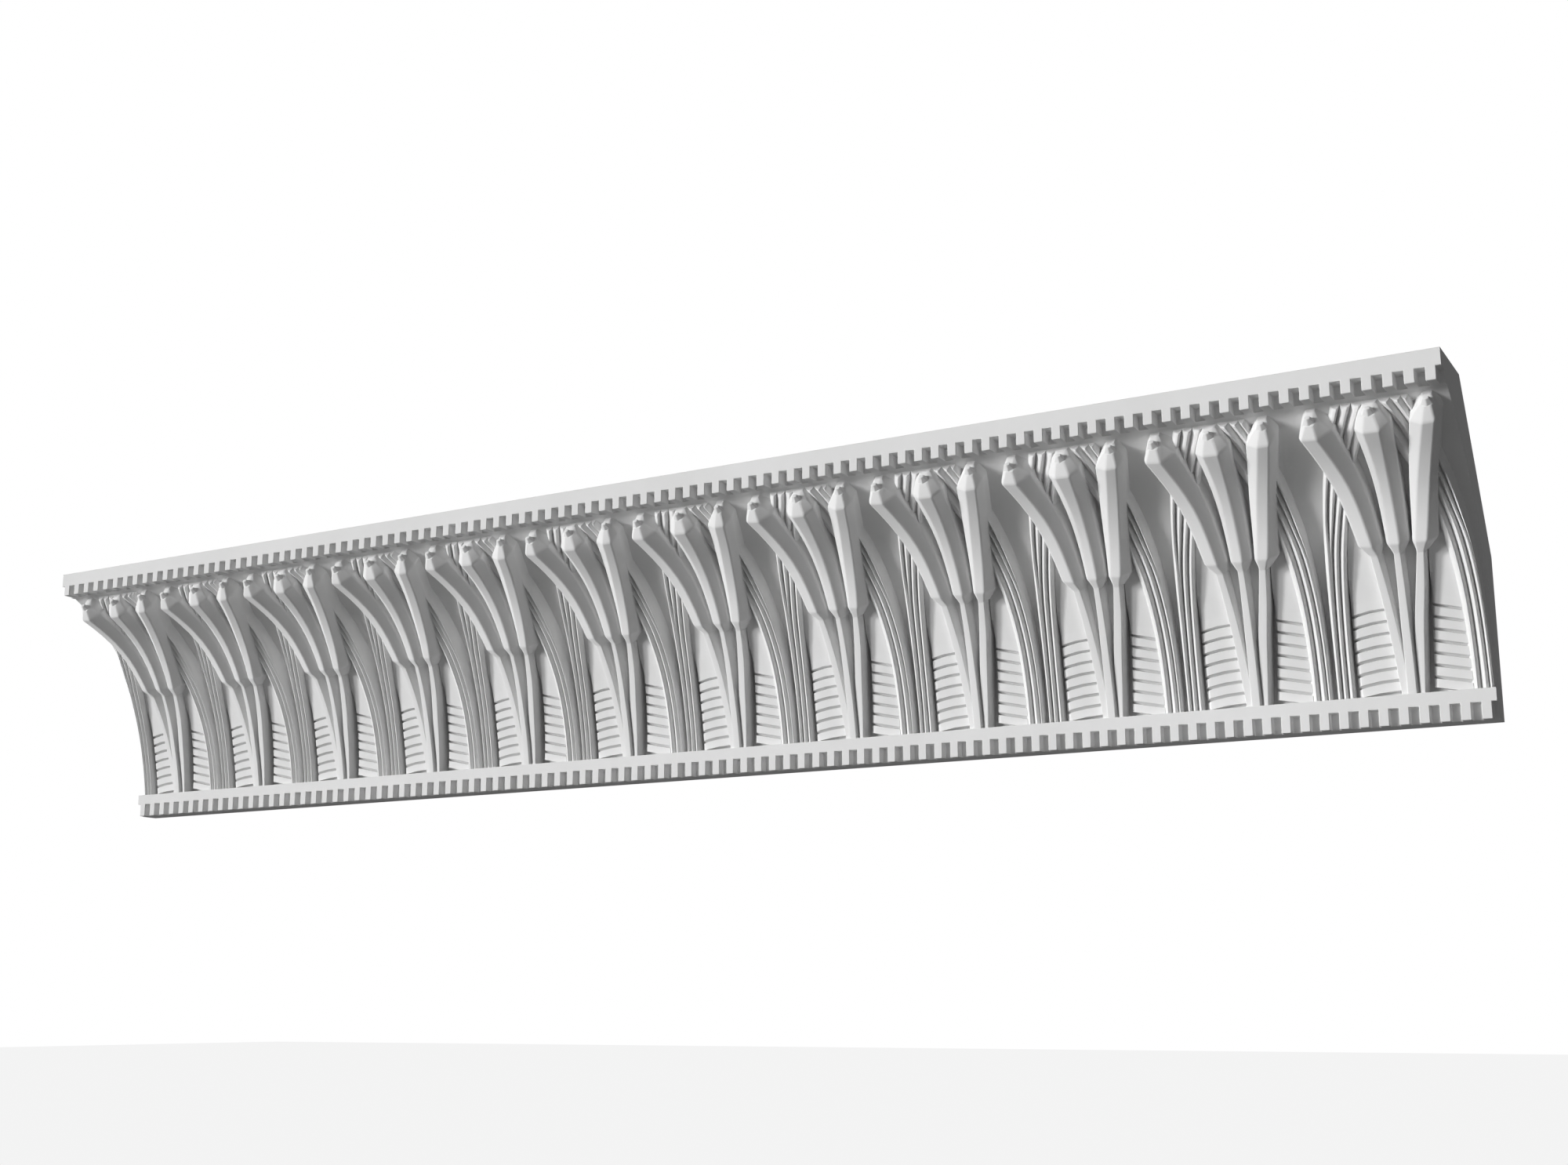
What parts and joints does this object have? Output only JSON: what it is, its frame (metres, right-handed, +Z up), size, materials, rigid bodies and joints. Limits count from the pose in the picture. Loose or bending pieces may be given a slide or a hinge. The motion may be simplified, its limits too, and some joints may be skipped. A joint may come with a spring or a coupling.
{
  "type": "cornice moulding",
  "caption": "Straight cast plaster cornice: a cove between two dentil bands, carved with bulrushes between curved leaves and slatted ground.",
  "frame": {"origin": "middle of the flat back face that meets the wall, half way along the run and half way up that face", "axes": "+X along the run, +Y into the wall, +Z up towards the ceiling"},
  "size_m": [1.152, 0.12, 0.2007],
  "materials": {
    "plaster": "matt off-white cast gypsum plaster, fine and even, unpainted"
  },
  "bodies": {
    "root": {"cornice": "plaster"}
  },
  "joints": []
}
